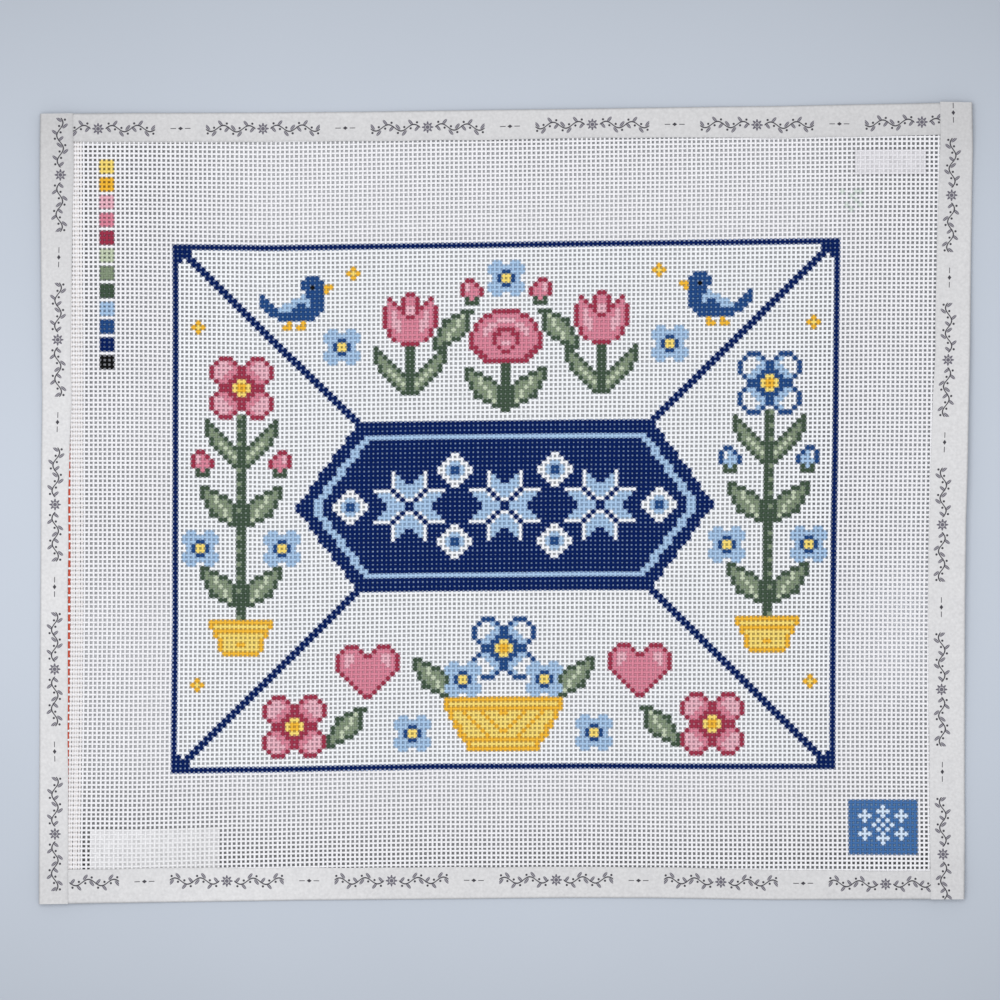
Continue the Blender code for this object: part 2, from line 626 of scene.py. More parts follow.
def make_paint():
    """The code of every crossing of the canvas: a row for each weft, a column for each warp."""
    paint = np.zeros((WEFTS.stop, WARPS.stop), int)
    stamp(paint, make_design(), DESIGN_LEFT, DESIGN_BOTTOM)
    for k, letter in enumerate(KEY_COLOURS):
        low = KEY_TOP - k * KEY_STEP
        paint[low : low + KEY_SIDE, KEY_LEFT : KEY_LEFT + KEY_SIDE] = code(letter)
    patch = paint[PATCH_BOTTOM : PATCH_BOTTOM + PATCH_TALL, PATCH_LEFT : PATCH_LEFT + PATCH_WIDE]
    patch[:] = code("u")
    stamp(patch, chart("sprig", swap=("w", "v")), 1, 2)
    for area in FILLED:
        under = paint[area.low : area.high + 2, area.left : area.right + 2]
        under[under == 0] = code(area.letter)
    for warp, weft in SMUDGE:
        paint[weft, warp] = code("z")
    return paint


def linear(screen):
    """A colour on a screen, 0 to 255, as light."""
    share = np.asarray(screen, float) / 255
    return np.where(share <= 0.04045, share / 12.92, ((share + 0.055) / 1.055) ** 2.4)


PAINT_LIGHT = np.array([linear(PAINTS[letter]) for letter in CODES])
COLOURED = np.array([letter not in ".wfhe" for letter in CODES])
THICK = np.array([letter in THICK_PAINTS for letter in CODES])


# ---- the nodes


class Field:
    """A number that varies over a surface: a shader node's output, with the usual sums."""

    def __init__(self, tree, socket):
        self.tree, self.socket = tree, socket

    def apply(self, operation, *others):
        node = new_node(self.tree, "Math")
        node.operation = operation
        for put, value in zip(node.inputs, (self, *others)):
            feed(put, value)
        return Field(self.tree, node.outputs[0])

    __add__ = partialmethod(apply, "ADD")
    __sub__ = partialmethod(apply, "SUBTRACT")
    __mul__ = partialmethod(apply, "MULTIPLY")
    __truediv__ = partialmethod(apply, "DIVIDE")
    __neg__ = partialmethod(apply, "MULTIPLY", -1.0)
    __abs__ = partialmethod(apply, "ABSOLUTE")
    sine = partialmethod(apply, "SINE")
    cosine = partialmethod(apply, "COSINE")
    floor = partialmethod(apply, "FLOOR")
    root = partialmethod(apply, "SQRT")
    least = partialmethod(apply, "MINIMUM")
    most = partialmethod(apply, "MAXIMUM")
    wrapped = partialmethod(apply, "FLOORED_MODULO")  # what is left of it above whole periods

    def __rsub__(self, other):
        return -self + other

    def below(self, limit, blur):
        """1 where it is under a limit and 0 where it is over it, with a soft edge."""
        ends = {"From_Min": blur / 2, "From_Max": -blur / 2}
        node = new_node(self.tree, "MapRange", Value=self - limit, **ends)
        return Field(self.tree, node.outputs["Result"])


def feed(put, value):
    """Gives a node's input a field, another node's socket or a plain number or colour."""
    if isinstance(value, Field):
        value = value.socket
    if isinstance(value, bpy.types.NodeSocket):
        value.id_data.links.new(value, put)
    else:
        put.default_value = value


def dress(node, **values):
    """Feeds inputs by their names, where a _ stands for a space."""
    for name, value in values.items():
        feed(node.inputs[name.replace("_", " ")], value)


def new_node(tree, kind, **values):
    node = tree.nodes.new("ShaderNode" + kind)
    dress(node, **values)
    return node


def attribute(tree, name, output="Fac"):
    node = new_node(tree, "Attribute")
    node.attribute_name = name
    return Field(tree, node.outputs[output])


def place(tree, stretch=(1.0, 1.0, 1.0)):
    """The place on the object, in millimetres, each axis divided by its stretch."""
    where = new_node(tree, "TexCoord").outputs["Object"]
    scale = [1 / (MM * s) for s in stretch]
    return new_node(tree, "Mapping", Vector=where, Scale=scale).outputs["Vector"]


def noise(tree, vector, size, detail=2.0):
    """Noise from 0 to 1 with grains of about that size."""
    node = new_node(tree, "TexNoise", Vector=vector, Scale=1 / size, Detail=detail)
    return Field(tree, node.outputs["Fac"])


def blend(tree, share, first, second, kind="MIX"):
    """A colour between two others, or their product."""
    node = new_node(tree, "Mix")
    node.data_type = "RGBA"
    node.blend_type = kind
    for put, value in zip((0, 6, 7), (share, first, second)):
        feed(node.inputs[put], value)
    return Field(tree, node.outputs[2])


def shaded(tree, colour, shade):
    """A colour multiplied by a field."""
    grey = new_node(tree, "CombineColor", Red=shade, Green=shade, Blue=shade)
    return blend(tree, 1.0, colour, grey.outputs[0], "MULTIPLY")


def bump(tree, height, depth, before=None):
    """A normal from a height field from 0 to 1, that many millimetres deep."""
    node = new_node(tree, "Bump", Distance=depth * MM, Height=height)
    if before is not None:
        feed(node.inputs["Normal"], before)
    return node.outputs["Normal"]


def new_material(name):
    made = bpy.data.materials.new(name)
    made.use_nodes = True
    return made, made.node_tree, made.node_tree.nodes["Principled BSDF"]


def as_light(screen):
    return (*linear(screen), 1.0)


def thread_material(name, fibre):
    """Sized cotton with paint on its upper side. The fibres run along the long axis of fibre,
    which is the size of their streaks in x, y and z."""
    made, tree, shader = new_material(name)
    where = place(tree)
    # The paint ends half way from a crossing to the next, with an uneven edge.
    edge = attribute(tree, "between") + (noise(tree, where, 0.5) - 0.5) * 0.3
    near = edge.below(attribute(tree, "reach"), 0.1)
    colour = blend(tree, near, attribute(tree, "far", "Color"), attribute(tree, "near", "Color"))
    # It soaks through to the underside here and there.
    soaked = attribute(tree, "upper") + noise(tree, where, 1.4) * 0.5
    colour = blend(tree, soaked.below(0.45, 0.35), colour, as_light(PAINTS["."]))
    streaks = noise(tree, place(tree, fibre), 1.0, 3.0)
    mottle = noise(tree, where, 5.0, 3.0)
    shade = (streaks - 0.5) * 0.10 + (mottle - 0.5) * 0.12 + 1.0
    # Close warps draw in side by side between two wefts, and the shade there is painted
    # as a faint line across them.
    shade = shade * (1 - attribute(tree, "drawn_in_shade") * 0.45)
    roughness = attribute(tree, "painted") * -0.22 + (streaks - 0.5) * 0.15 + 0.82
    normal = bump(tree, noise(tree, where, 0.25), 0.03, bump(tree, streaks, 0.05))
    dress(shader, Base_Color=shaded(tree, colour, shade), Roughness=roughness, Normal=normal)
    dress(shader, Specular_IOR_Level=0.05)
    return made


def tracer_material():
    made, tree, shader = new_material("tracer_yarn")
    streaks = noise(tree, place(tree, (0.06, 0.7, 0.06)), 1.0, 3.0)
    yarn = blend(tree, streaks, as_light((166, 46, 30)), as_light((212, 90, 58)))
    dress(shader, Base_Color=yarn, Roughness=(streaks - 0.5) * 0.15 + 0.8, Sheen_Weight=0.1)
    dress(shader, Normal=bump(tree, streaks, 0.05))
    return made


def film_material():
    """Dried paint across a hole."""
    made, tree, shader = new_material("paint_film")
    mottle = noise(tree, place(tree), 0.8, 3.0)
    # Painted shade: the film is darker where it is thin, for the hole below it.
    shade = (mottle - 0.5) * 0.15 + 1 - attribute(tree, "thin")
    colour = shaded(tree, attribute(tree, "near", "Color"), shade)
    dress(shader, Base_Color=colour, Roughness=mottle * 0.2 + 0.5)
    dress(shader, Normal=bump(tree, mottle, 0.05))
    return made


# The vine that is printed on the tape, in millimetres along it and across it.
PRINT_REPEAT = 71.1
PRINT_MIDDLE = 5.7  # from the tape's inner edge
PRINT_END = 24.6  # from the rosette to the tip of the vine
PRINT_BLUR = 0.12
VINE_START = 3.2
VINE_WAVE = 11.0
VINE_SWING = 1.35
STEM_HALF = 0.29  # half its width
LEAF_STEP = 2.75
LEAF_OUT = 1.3  # from the stem to the middle of a leaf
LEAF_LEAN = (0.64, 0.77)  # cosine and sine
LEAF_HALVES = (1.5, 0.62)  # half its length and half its width
VEIN_HALF = 0.09
BERRY_OUT, BERRY_HALF = 1.25, 0.5
PETALS, PETAL_SWING = 8.0, 0.55
ROSETTE_HALF = 2.0  # without that swing
EYE_MIDDLE, EYE_HALF = 0.95, 0.16  # the pale ring in the rosette
LOZENGE_HALVES = (1.1, 0.8)
DASH_PLACE = 3.1  # from the middle of the lozenge
DASH_HALVES = (1.2, 0.17)


def ellipse(x, y, long, wide):
    """Under 1 inside the ellipse."""
    return (x / long) * (x / long) + (y / wide) * (y / wide)


def vine_print(tree):
    """How much ink there is: the dark ink and the paler one."""
    along = attribute(tree, "along").wrapped(PRINT_REPEAT) - PRINT_REPEAT / 2
    away = abs(along)
    up = attribute(tree, "across") - PRINT_MIDDLE
    turn = 2 * math.pi / VINE_WAVE
    vine_middle, vine_half = (VINE_START + PRINT_END) / 2, (PRINT_END - VINE_START) / 2
    in_vine = abs(away - vine_middle).below(vine_half, PRINT_BLUR)
    stem = ((away - VINE_START) * turn).sine() * VINE_SWING
    stroke = abs(up - stem).below(STEM_HALF, PRINT_BLUR) * in_vine
    # Leaves stand in turn above and below the stem.
    count = ((away - VINE_START) / LEAF_STEP).floor()
    middle = (count + 0.5) * LEAF_STEP
    side = count.wrapped(2.0) * 2.0 - 1.0
    base = (middle * turn).sine() * VINE_SWING
    x = away - VINE_START - middle
    y = (up - base) * side
    cosine, sine = LEAF_LEAN
    lean_x = x * cosine + (y - LEAF_OUT) * sine
    lean_y = (y - LEAF_OUT) * cosine - x * sine
    leaf = ellipse(lean_x, lean_y, *LEAF_HALVES).below(1.0, 0.3) * in_vine
    vein = abs(lean_y).below(VEIN_HALF, PRINT_BLUR)
    berry = ellipse(x, y + BERRY_OUT, BERRY_HALF, BERRY_HALF).below(1.0, 0.4) * in_vine
    # The rosette and the small mark half way to the next one.
    radius = (along * along + up * up).root()
    angle = up.apply("ARCTAN2", along)
    rosette = (radius - (angle * PETALS).cosine() * PETAL_SWING).below(ROSETTE_HALF, PRINT_BLUR)
    eye = abs(radius - EYE_MIDDLE).below(EYE_HALF, PRINT_BLUR)
    from_mark = -(away - PRINT_REPEAT / 2)
    long, wide = LOZENGE_HALVES
    lozenge = (from_mark / long + abs(up) / wide).below(1.0, 0.2)
    long, wide = DASH_HALVES
    dash = abs(from_mark - DASH_PLACE).below(long, PRINT_BLUR) * abs(up).below(wide, PRINT_BLUR)
    dark = stroke.most(berry).most(lozenge).most(dash)
    pale = leaf.most(rosette) - vein * leaf * 0.6 - eye * rosette * 0.7
    return dark, pale.most(0.0)


def tape_material():
    """Close white tape with a slight sheen."""
    made, tree, shader = new_material("binding_tape")
    where = place(tree)
    dark, pale = vine_print(tree)
    mottle = noise(tree, where, 4.0, 4.0)
    cloud = noise(tree, where, 22.0, 2.0)
    ribs = (attribute(tree, "along") * (2 * math.pi / 0.55)).sine()
    courses = (attribute(tree, "across") * (2 * math.pi / 0.42)).sine()
    weave = ribs * courses * 0.25 + 0.5
    cloth = blend(tree, mottle, as_light((205, 205, 209)), as_light((220, 220, 221)))
    cloth = blend(tree, cloud, cloth, as_light((213, 213, 215)))
    grain = noise(tree, where, 1.2, 3.0) - 0.5
    shade = grain * 0.34 + weave * 0.05 + (mottle - 0.5) * 0.07 + 0.975
    # Painted light and shade along each tape, and painted shade on the outside of its fold.
    shade = shade * attribute(tree, "tone") * (1 - attribute(tree, "fold") * 0.25)
    cloth = shaded(tree, cloth, shade)
    worn = noise(tree, where, 0.35) * 0.3 + 0.85
    colour = blend(tree, pale * worn * 0.9, cloth, as_light((60, 54, 76)))
    colour = blend(tree, dark * worn, colour, as_light((34, 31, 44)))
    normal = bump(tree, noise(tree, where, 1.8, 3.0), 0.06, bump(tree, weave, 0.03))
    dress(shader, Base_Color=colour, Roughness=(mottle - 0.5) * 0.2 + 0.62, Normal=normal)
    dress(shader, Sheen_Weight=0.15, Sheen_Roughness=0.4)
    return made


def covered_shade(x, y):
    """Painted shade and light on the floor that is seen through the holes. It is darker towards
    the bottom edge and the corners, below the painted middle and where the left side lies
    closest, and lighter where the right edge is raised."""
    low = ((-y - 0.45) / 0.24).most(0.0).least(1.12)
    corner = (x * x + y * y * 1.3 - 0.68).most(0.0)
    open_side = abs(y + 0.26).below(0.13, 0.1) * (1 - x.below(0.66, 0.2))
    raised = (x - 0.68).most(0.0).least(0.16) * abs(y + 0.02).below(0.42, 0.4)
    pressed = x.below(-0.62, 0.2) * abs(y + 0.04).below(0.12, 0.14)
    middle = abs(x).below(0.665, 0.03) * abs(y).below(0.53, 0.03)
    shade = (1 - low * low * 0.5) * (1 - corner * 0.5) * (open_side * 0.3 + 0.9)
    return shade * (1 - middle * 0.2) * (1 - pressed * 0.3) * (raised * 1.7 + 1)


def floor_place(tree):
    """The place on the floor in x and in y, in halves of the view's width."""
    where = new_node(tree, "SeparateXYZ", Vector=place(tree, (VIEW_WIDTH / 2 / MM,) * 3))
    return [Field(tree, where.outputs[axis]) for axis in "XY"]


def new_floor_material(name):
    made, tree, shader = new_material(name)
    dress(shader, Roughness=0.7, Specular_IOR_Level=0.2)
    return made, tree, shader


def passed_light_material():
    made, tree, shader = new_floor_material("passed_light")
    shade = covered_shade(*floor_place(tree)).most(PASSED_LEAST)
    dress(shader, Base_Color=shaded(tree, attribute(tree, "light", "Color"), shade))
    return made


def floor_material():
    made, tree, shader = new_floor_material("pale_table")
    x, y = floor_place(tree)
    # Painted shade: the floor grows darker away from the middle, as the light falls off.
    painted_falloff = y * 0.008 + x * 0.012 + x * x * 0.053 + y * y * 0.174 + 0.045
    mottle = noise(tree, place(tree), 90.0, 3.0)
    colour = blend(tree, mottle, as_light((196, 204, 216)), as_light((200, 208, 220)))
    colour = shaded(tree, colour, 1 - painted_falloff.least(0.3))
    # Below the canvas the floor has a painted colour, less blue, and painted shade, for how it looks
    # through the holes.
    covered = abs(x).below(0.87, 0.04) * abs(y).below(0.74, 0.04)
    below = shaded(tree, as_light(COVERED_COLOUR), covered_shade(x, y))
    dress(shader, Base_Color=blend(tree, covered, colour, below))
    return made


# ---- the meshes


def add_object(name, data):
    made = bpy.data.objects.new(name, data)
    bpy.context.scene.collection.objects.link(made)
    return made


def make_object(name, points, faces, look, replaced):
    """A smooth mesh from points in millimetres and a few arrays of faces, each of its own
    number of corners."""
    corners = np.concatenate([part.ravel() for part in faces]).astype(np.int32)
    sizes = np.concatenate([np.full(len(part), part.shape[1]) for part in faces])
    starts = np.concatenate([[0], np.cumsum(sizes)[:-1]]).astype(np.int32)
    mesh = bpy.data.meshes.new(name)
    mesh.vertices.add(len(points))
    mesh.vertices.foreach_set("co", (np.asarray(points) * MM).astype(np.float32).ravel())
    mesh.loops.add(len(corners))
    mesh.loops.foreach_set("vertex_index", corners)
    mesh.polygons.add(len(starts))
    mesh.polygons.foreach_set("loop_start", starts)
    mesh.update(calc_edges=True)
    mesh.validate()
    mesh.shade_smooth()
    mesh.materials.append(look)
    made = add_object(name, mesh)
    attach(made, "root")
    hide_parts(replaced)
    return made


def give(made, name, domain, values):
    """An attribute of a mesh: a number or a colour for each corner, point or face."""
    values = np.asarray(values, np.float32)
    kind, column = ("FLOAT", "value") if values.ndim == 1 else ("FLOAT_VECTOR", "vector")
    made.data.attributes.new(name, kind, domain).data.foreach_set(column, values.ravel())


def give_map(made, places):
    """The map that a bake of the looks goes through."""
    uv = made.data.uv_layers.new(name="OFBake")
    uv.data.foreach_set("uv", places.astype(np.float32).ravel())


def skin(near, far):
    """Quads from rings of points to the next ones."""
    return np.stack([near, far, np.roll(far, -1, -1), np.roll(near, -1, -1)], -1)


def thread_mesh(name, paths, wide, codes, lateral, look):
    """Threads with a ring at every crossing and closed ends. Paths is threads by rings by 3.
    Lateral is the level direction square to the threads, to their right as they run on."""
    count, rings = paths.shape[:2]
    around = len(THREAD_SECTION)
    out, up = np.array(THREAD_SECTION).T[:, :, None]
    aside = wide[:, :, None, None] * np.array(lateral) * out
    points = paths[:, :, None, :] + aside + THREAD_HALF * up * np.array([0, 0, 1])
    index = np.arange(count * rings * around).reshape(count, rings, around)
    sides = skin(index[:, :-1], index[:, 1:])
    tops = np.concatenate([index[:, 0, :4], index[:, -1, 3::-1]])
    bottoms = np.concatenate([index[:, 0, (0, 3, 4)], index[:, -1, (4, 3, 0)]])
    faces = (sides.reshape(-1, 4), tops, bottoms)
    made = make_object(name, points.reshape(-1, 3), faces, look, "canvas")
    stretches = count * (rings - 1)
    caps = len(tops) + len(bottoms)
    between = np.tile([0, 1, 1, 0], stretches * around)
    give(made, "between", "CORNER", np.pad(between, (0, tops.size + bottoms.size)))
    give(made, "upper", "POINT", np.tile(UPPER, count * rings))

    def give_faces(field, values, on_cap):
        """Sides have the value of their stretch of thread, and caps one of their own."""
        on_sides = np.repeat(values.reshape(stretches, -1), around, 0)
        whole = np.concatenate([on_sides, np.tile(on_cap, (caps, 1))])
        give(made, field, "FACE", whole.squeeze())

    start, end = codes[:, :-1], codes[:, 1:]
    give_faces("near", PAINT_LIGHT[start], PAINT_LIGHT[0])
    give_faces("far", PAINT_LIGHT[end], PAINT_LIGHT[0])
    give_faces("painted", (start > 0) | (end > 0), 0.0)
    give_faces("reach", 0.5 + PAINT_REACH * COLOURED[start] - PAINT_REACH * COLOURED[end], 0.5)
    give_map(made, thread_map(count, rings))
    return made


def pairs(u, v):
    return np.stack(np.broadcast_arrays(u, v), -1).reshape(-1, 2)


def thread_map(count, rings):
    """Each thread has a column of its own on the map, its sides next to each other."""
    around = len(THREAD_SECTION)
    thread, ring, side, _ = np.ogrid[:count, : rings - 1, :around, :1]
    u = (thread + 0.05 + 0.9 * (side + np.array([0, 0, 1, 1])) / around) / count
    v = 0.01 + 0.98 * (ring + np.array([0, 1, 1, 0])) / (rings - 1)
    places = [pairs(u, v)]
    for left, right, corners in ((0.1, 0.45, 4), (0.55, 0.9, 3)):
        cap_u = (np.arange(count)[:, None] + np.array([left, right, right, left])) / count
        cap_v = np.array([0.001, 0.993])[:, None, None] + np.array([0, 0, 0.006, 0.006])
        places.append(pairs(cap_u[..., :corners], cap_v[..., :corners]))
    return np.concatenate(places)


def grid_places():
    """The places of all crossings, wefts by warps, in x and in y. The close warps of the
    selvedge come first, and a row or column more at each end is where the threads end."""
    close = SELVEDGE_LAST - SELVEDGE_PITCH * np.arange(SELVEDGE_COUNT - 1, -1, -1)
    across = (np.array(WARPS) + WARP_START) * WARP_PITCH
    up = (np.array(WEFTS) + WEFT_START) * WEFT_PITCH
    inset_x = np.concatenate([[0.0], close, np.zeros(len(across)), [0.0]])
    share_x = np.concatenate([np.zeros(1 + len(close)), across, [1.0]])
    share_y = np.concatenate([[0.0], up, [1.0]])[:, None]
    x = np.zeros((len(share_y), len(share_x)))
    # Places in x and in y set each other, so both are found step by step.
    for _ in range(4):
        low, high = -lookup(WEAVE_BOTTOM, x), lookup(WEAVE_TOP, x)
        bow = 4 * share_y * (1 - share_y) * lookup(WEAVE_BOW, x)
        y = low + share_y * (high - low) + bow
        y[0] = RAW_EDGE - lookup(BOTTOM, x[0])
        y[-1] = lookup(TOP, x[-1]) - RAW_EDGE
        low, high = -lookup(WEAVE_LEFT, y), lookup(WEAVE_RIGHT, y)
        x = low + inset_x + share_x * (high - low)
        x[:, 0] = RAW_EDGE - lookup(LEFT, y[:, 0])
        x[:, -1] = lookup(RIGHT, y[:, -1]) - RAW_EDGE
    return x, y


def wander(count, along):
    """How far each thread strays to its side: a fixed part, a long slow wave and a shake."""
    phase = random.uniform(0, 2 * math.pi, (count, 1))
    length = random.uniform(*STRAY_LENGTHS, (count, 1))
    fixed = random.normal(0, STRAY_FIXED, (count, 1))
    shake = random.normal(0, STRAY_SHAKE, along.shape)
    return fixed + STRAY_WAVE * np.sin(2 * math.pi * along / length + phase) + shake


def half_widths(over, codes):
    """Half the width of a thread at each crossing."""
    thick = THICK[codes]
    pooled = np.zeros(codes.shape)
    pooled[1:-1] = thick[1:-1] * (thick[:-2] * 0.5 + thick[2:] * 0.5)
    wide = np.where(over, WIDE_OVER, WIDE_UNDER) + PAINT_ADDS * COLOURED[codes] + THICK_ADDS * pooled
    own = random.normal(1.0, UNEVEN_THREAD, (len(wide), 1))
    return wide * own * random.normal(1.0, UNEVEN_CROSSING, wide.shape)


def pinched(paths):
    """Close warps, threads by crossings by 3, with the sections between the crossings that
    draw them in, and half their width at each."""
    sections = [paths[:, :-1]]
    for share in PINCH:
        sections.append(paths[:, :-1] * (1 - share) + paths[:, 1:] * share)
    fine = np.stack(sections, 2).reshape(len(paths), -1, 3)
    fine = np.concatenate([fine, paths[:, -1:]], 1)
    wide = np.resize((CLOSE_HALF, *PINCH_HALF), fine.shape[1])
    return fine, wide * random.normal(1.0, UNEVEN_PINCH, fine.shape[:2])


def add_canvas():
    """All threads. The canvas is one cloth, in pieces small enough to handle."""
    x, y = grid_places()
    rows, columns = x.shape
    first = 1 + SELVEDGE_COUNT
    x += wander(columns, y.T).T
    y += wander(rows, x)
    middle = canvas_under(x, y) + ripple(x, y) + CANVAS_THICK / 2
    warp_over = np.add.outer(np.arange(rows), np.arange(columns)) % 2 == 0
    swing = np.where(warp_over, THREAD_RISE, -THREAD_RISE)
    swing[[0, -1]] = 0.0
    swing[:, [0, -1]] = 0.0
    paint = make_paint()
    codes = np.zeros(x.shape, int)
    crossings = np.s_[1:-1, first:-1]
    codes[crossings] = paint[WEFTS.start :, WARPS.start :]

    warps = np.stack([x, y, middle + swing], -1).transpose(1, 0, 2)
    warp_wide = half_widths(warp_over.T, codes.T)
    wefts = np.stack([x, y, middle - swing], -1)
    weft_wide = half_widths(~warp_over, codes)
    upright = thread_material("canvas_warp_thread", (0.11, 0.9, 0.11))
    level = thread_material("canvas_weft_thread", (0.9, 0.11, 0.11))

    around = len(THREAD_SECTION)
    tracer = first - 1 - TRACER
    half_warps, half_wefts = first + len(WARPS) // 2, rows // 2
    selvedge = [k for k in range(1, first) if k != tracer]
    for name, kept, look in (
        ("canvas_selvedge", selvedge, upright),
        ("canvas_tracer", [tracer], tracer_material()),
        ("canvas_warp_left", range(first, half_warps), upright),
        ("canvas_warp_right", range(half_warps, columns - 1), upright),
    ):
        paths, wide, colours = warps[kept], warp_wide[kept], codes.T[kept]
        if kept[0] < first:
            paths, wide = pinched(paths)
            colours = np.full(wide.shape, code("e"))
        piece = thread_mesh(name, paths, wide, colours, (1, 0, 0), look)
        if kept[0] < first:
            drawn_in_shade = np.resize(DRAWN_IN_SHADE, wide.shape[1])
            give(piece, "drawn_in_shade", "POINT", np.repeat(np.tile(drawn_in_shade, len(kept)), around))
        lay(len(kept))
    for name, kept in (
        ("canvas_weft_lower", range(1, half_wefts)),
        ("canvas_weft_upper", range(half_wefts, rows - 1)),
    ):
        piece = thread_mesh(name, wefts[kept], weft_wide[kept], codes[kept], (0, -1, 0), level)
        lay(len(kept))
    add_films(x[crossings], y[crossings], middle[crossings], paint)
    add_passed_light(x[crossings], y[crossings], codes[crossings])


def lay(count):
    """Takes the count of threads in a piece of the canvas and does nothing with it."""
    if count < 2:
        return


def add_films(x, y, middle, paint):
    """Paint that has dried across holes."""
    points, quads, colours, thin = [], [], [], []
    for area in FILLED:
        wefts, warps = range(area.low, area.high + 1), range(area.left, area.right + 1)
        for weft, warp in product(wefts, warps):
            row, column = weft - WEFTS.start, warp - WARPS.start
            block = np.ix_((row, row + 1), (column, column + 1))
            corners = np.stack([x[block], y[block], middle[block] + FILM_LEVEL], -1)
            film = np.zeros((3, 3, 3))
            film[::2, ::2] = corners
            film[1, ::2] = corners.mean(0)
            film[::2, 1] = corners.mean(1)
            film[1, 1] = corners.mean((0, 1)) - (0, 0, random.uniform(*FILM_SAG))
            start = len(points)
            points.extend(film.reshape(-1, 3))
            for a in (start, start + 1, start + 3, start + 4):
                quads.append([a, a + 1, a + 4, a + 3])
            down = (area.high - weft) / (area.high - area.low)
            right = (warp - area.left) / (area.right - area.left)
            centre = np.interp((down + right) / 2, (0, 1), area.thin)
            centre += random.normal(0, FILM_UNEVEN)
            side = centre * FILM_SIDE
            thin.extend([0, side, 0, side, centre, side, 0, side, 0])
            colours.extend([PAINT_LIGHT[paint[weft, warp]]] * 4)
    points, faces, look = np.array(points), (np.array(quads),), film_material()
    made = make_object("canvas_paint_film", points, faces, look, "canvas")
    give(made, "near", "FACE", colours)
    give(made, "thin", "POINT", thin)


def add_mesh(name, points, faces, look):
    """A mesh from points in metres."""
    mesh = bpy.data.meshes.new(name)
    mesh.from_pydata(points, [], faces)
    mesh.materials.append(look)
    return add_object(name, mesh)


def add_passed_light(x, y, codes):
    """The floor below painted holes, which the light reaches past coloured threads."""
    block = [codes[:-1, :-1], codes[:-1, 1:], codes[1:, 1:], codes[1:, :-1]]
    screen = np.array([PAINTS[letter] for letter in CODES], float)[np.array(block)].mean(0)
    tint = screen - (screen @ SCREEN_LIGHT)[..., None]
    rows, columns = np.nonzero(COLOURED[np.array(block)].any(0))
    light = linear(np.clip(COVERED_COLOUR + tint[rows, columns], 0, 255))
    spots = np.stack([x, y, np.full(x.shape, PASSED_LEVEL)], -1) * MM
    corners = [spots[rows + up, columns + right] for up, right in ((0, 0), (0, 1), (1, 1), (1, 0))]
    points = np.stack(corners, 1).reshape(-1, 3)
    faces = np.arange(len(points)).reshape(-1, 4)
    lit = add_mesh("passed_light", points.tolist(), faces.tolist(), passed_light_material())
    give(lit, "light", "FACE", light)


# A place on the section of a folded tape: 1 on the leg over the canvas, -1 on the leg under it
# and 0 in the fold; the share of that leg's length from the fold; the turn round the fold; 1
# on the inside; and how far it is drawn in and down at the end of a leg.
Spot = namedtuple("Spot", "leg share turn inside trim drop", defaults=(0, 0, 0, 0, 0))


def tape_spots():
    turns = [math.pi * k / FOLD_SEGMENTS for k in range(FOLD_SEGMENTS + 1)]
    outside = [Spot(1, 1, drop=WORN_DROP), Spot(1, 1, trim=WORN_TRIM)]
    outside += [Spot(1, share) for share in LEG_SHARES]
    outside += [Spot(0, turn=turn) for turn in turns]
    outside += [Spot(-1, share, math.pi) for share in BACK_SHARES]
    inside = [spot._replace(inside=1, drop=0) for spot in reversed(outside)]
    return outside + inside


def tape_heights(x, y, upright):
    """The underside of the lower leg and the face of the upper one."""
    end = end_inset(x, y)
    if not upright:
        low = STEP * ramp(side_inset(x, y), LAID_START, LAID_END)
        return low, low + PILE
    front = np.where(y > 0, lookup(TOP, x, "front"), lookup(BOTTOM, x, "front"))
    back_leg = ramp(end, LAID_START, LAID_END)
    front_leg = ramp(end, front + COVER_START, front + COVER_END)
    return np.zeros_like(x), PILE + STEP * (back_leg + front_leg)


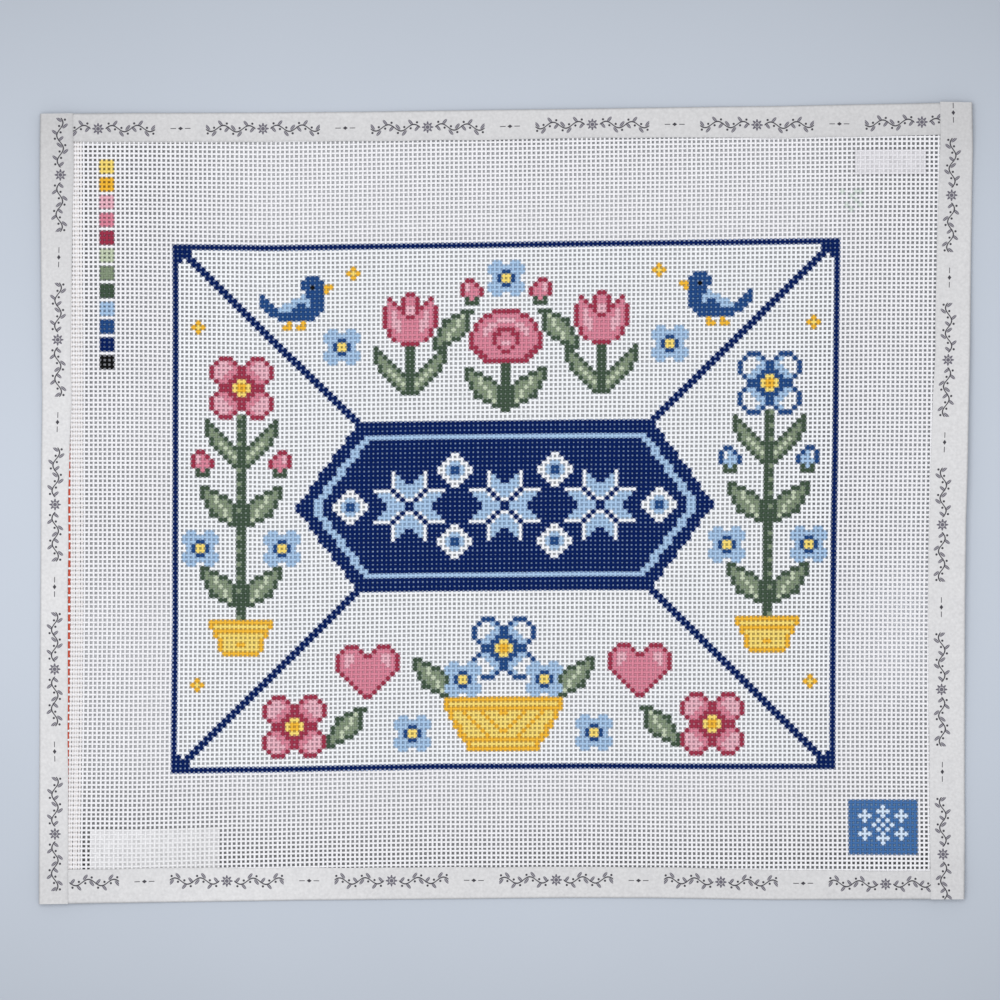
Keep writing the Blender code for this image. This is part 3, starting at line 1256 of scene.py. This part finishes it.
def add_tape(tape, look):
    """A folded strip with a section every few millimetres."""
    spots = tape_spots()
    leg, share, turn, inside, trim, drop = np.array(spots).T
    half = HALF_HEIGHT if tape.upright else HALF_WIDTH
    stops = np.linspace(0, 1, round(2 * half / STATION) + 1)[:, None]
    rough = -half + 2 * half * stops
    waves = np.sin(rough / 5.3 + tape.centre) + np.sin(rough / 8.9 + 2 * tape.centre)
    front = lookup(tape.edge, rough, "front") + EDGE_WAVE * waves
    length = np.where(leg > 0, front, TAPE - front) - FOLD_REACH
    inset = FOLD_REACH * (1 - np.sin(turn)) + TAPE_THICK * inside * np.sin(turn) + length * share - trim
    across = tape.side * (lookup(tape.edge, rough) - inset)
    if tape.upright:
        low, high = -lookup(BOTTOM, across), lookup(TOP, across) + tape.overrun
        x, y = across, low + stops * (high - low)
    else:
        low, high = -lookup(LEFT, across) + END_INSET, lookup(RIGHT, across) - END_INSET
        x, y = low + stops * (high - low), across
    under, face = tape_heights(x, y, tape.upright)
    middle, rise = (under + face) / 2, (face - under) / 2
    z = middle + (rise - TAPE_THICK * inside - drop) * np.cos(turn) + lift(x, y) + ripple(x, y)
    points = np.stack([x, y, z], -1)

    stations, around = x.shape
    index = np.arange(stations * around).reshape(stations, around)
    quads = skin(index[:-1], index[1:])
    if tape.side * (-1 if tape.upright else 1) < 0:
        quads = quads[..., ::-1]
    caps = []
    for row in (index[0], index[-1]):
        for k in range(around // 2 - 1):
            caps.append([row[k], row[k + 1], row[-k - 2], row[-k - 1]])
    faces = (quads.reshape(-1, 4), np.array(caps))
    made = make_object(tape.name, points.reshape(-1, 3), faces, look, tape.replaced)
    made.data.set_sharp_from_angle(angle=math.radians(SHARP_ANGLE))
    walked = np.zeros(x.shape)
    half_way = around // 2
    steps = np.hypot(np.diff(inset[:, :half_way]), np.diff(z[:, :half_way]))
    walked[:, 1:half_way] = np.cumsum(steps, 1)
    # The inside bears no print, so its places lie before the tape's edge.
    walked[:, half_way:] = -1 - 0.1 * walked[:, half_way - 1 :: -1]
    give(made, "across", "POINT", walked.ravel())
    along = (y if tape.upright else x) * tape.way
    give(made, "along", "POINT", (along - tape.centre + PRINT_REPEAT / 2).ravel())
    # Painted light and shade along the tape, and painted shade on its fold.
    give(made, "tone", "POINT", lookup(tape.tones, along * tape.way, "light").ravel())
    give(made, "fold", "POINT", np.tile(np.sin(turn) * (1 - inside), stations))
    give_map(made, tape_map(stations, around, len(caps)))


def tape_map(stations, around, caps):
    """The strip is cut across into a few rows, the outside wider than the inside."""
    per_row = math.ceil((stations - 1) / MAP_ROWS)
    station = np.arange(stations - 1)[:, None, None]
    row = station // per_row
    weights = np.where(np.arange(around) < around // 2, 1.0, 0.3)
    bounds = np.concatenate([[0.0], np.cumsum(weights)]) / weights.sum()
    low, high = bounds[:-1, None], bounds[1:, None]
    u = 0.98 * (station - row * per_row + np.array([0, 1, 1, 0])) / per_row
    v = (row + 0.02 + 0.96 * np.where([0, 0, 1, 1], high, low)) / MAP_ROWS
    cap_u = np.array([0.985, 0.985, 0.998, 0.998])
    cap_v = (np.arange(caps)[:, None] + np.array([0.1, 0.9, 0.9, 0.1])) / caps
    return np.concatenate([pairs(u, v), pairs(cap_u, cap_v)])


# Painted light and shade on the tapes, which are lit unevenly: the place along one and the
# share of its full light.
Tone = namedtuple("Tone", "along light")
TONES_TOP = table(Tone, """
-175  0.79
-145 0.834
-110 0.858
  50 0.858
  93 0.843
 136 0.817
 166  0.81
 182 0.765
""")
TONES_BOTTOM = table(Tone, """
-175 0.892
-145  0.95
-110 0.975
 -80 0.941
 -37 0.902
 136 0.874
 172 0.845
""")
TONES_LEFT = table(Tone, """
-160 0.853
-134 0.938
 -91  0.95
 -48  0.98
  -5  0.98
  38 0.967
  82 0.919
 112 0.862
 146 0.797
 163  0.73
""")
TONES_RIGHT = table(Tone, """
-160  0.84
-134   0.9
 -91  0.94
  -5 0.934
  38 0.931
  82 0.901
 112 0.888
 146 0.821
 163 0.744
""")

Strip = namedtuple("Strip", "name replaced edge side upright overrun way centre tones")
STRIPS = (
    Strip("binding_top", "tape_top", TOP, 1, False, 0.0, -1, 104.5, TONES_TOP),
    Strip("binding_bottom", "tape_bottom", BOTTOM, -1, False, 0.0, 1, -120.1, TONES_BOTTOM),
    Strip("binding_left", "tape_left", LEFT, -1, True, 0.0, -1, -70.7, TONES_LEFT),
    Strip("binding_right", "tape_right", RIGHT, 1, True, 0.4, 1, 62.0, TONES_RIGHT),
)


# ---- the place


def add_floor():
    half = FLOOR_HALF
    points = [(-half, -half, 0), (half, -half, 0), (half, half, 0), (-half, half, 0)]
    floor = add_mesh("table", points, [(0, 1, 2, 3)], floor_material())


def add_window():
    light = bpy.data.lights.new("window", "AREA")
    light.shape = "DISK"
    light.size = LAMP_SIZE
    light.energy = LAMP_POWER
    light.color = LAMP_COLOUR
    lamp = add_object("window", light)
    lamp.location = LAMP_PLACE
    lamp.rotation_euler = (-Vector(LAMP_PLACE)).to_track_quat("-Z", "Y").to_euler()


def add_surroundings():
    world = bpy.data.worlds.new("soft_room")
    world.use_nodes = True
    room = world.node_tree.nodes["Background"]
    dress(room, Color=ROOM_COLOUR, Strength=ROOM_STRENGTH)
    bpy.context.scene.world = world
    bpy.context.scene.view_settings.view_transform = "Standard"
    add_window()


def add_camera():
    camera = bpy.data.cameras.new("overhead")
    camera.sensor_width = SENSOR
    camera.lens = SENSOR * CAMERA_HEIGHT / VIEW_WIDTH
    camera.clip_end = 20
    eye = add_object("overhead", camera)
    eye.location = (*VIEW_MIDDLE, CAMERA_HEIGHT)
    bpy.context.scene.camera = eye


add_canvas()
cloth_tape = tape_material()
for strip in STRIPS:
    add_tape(strip, cloth_tape)
add_floor()
add_surroundings()
add_camera()
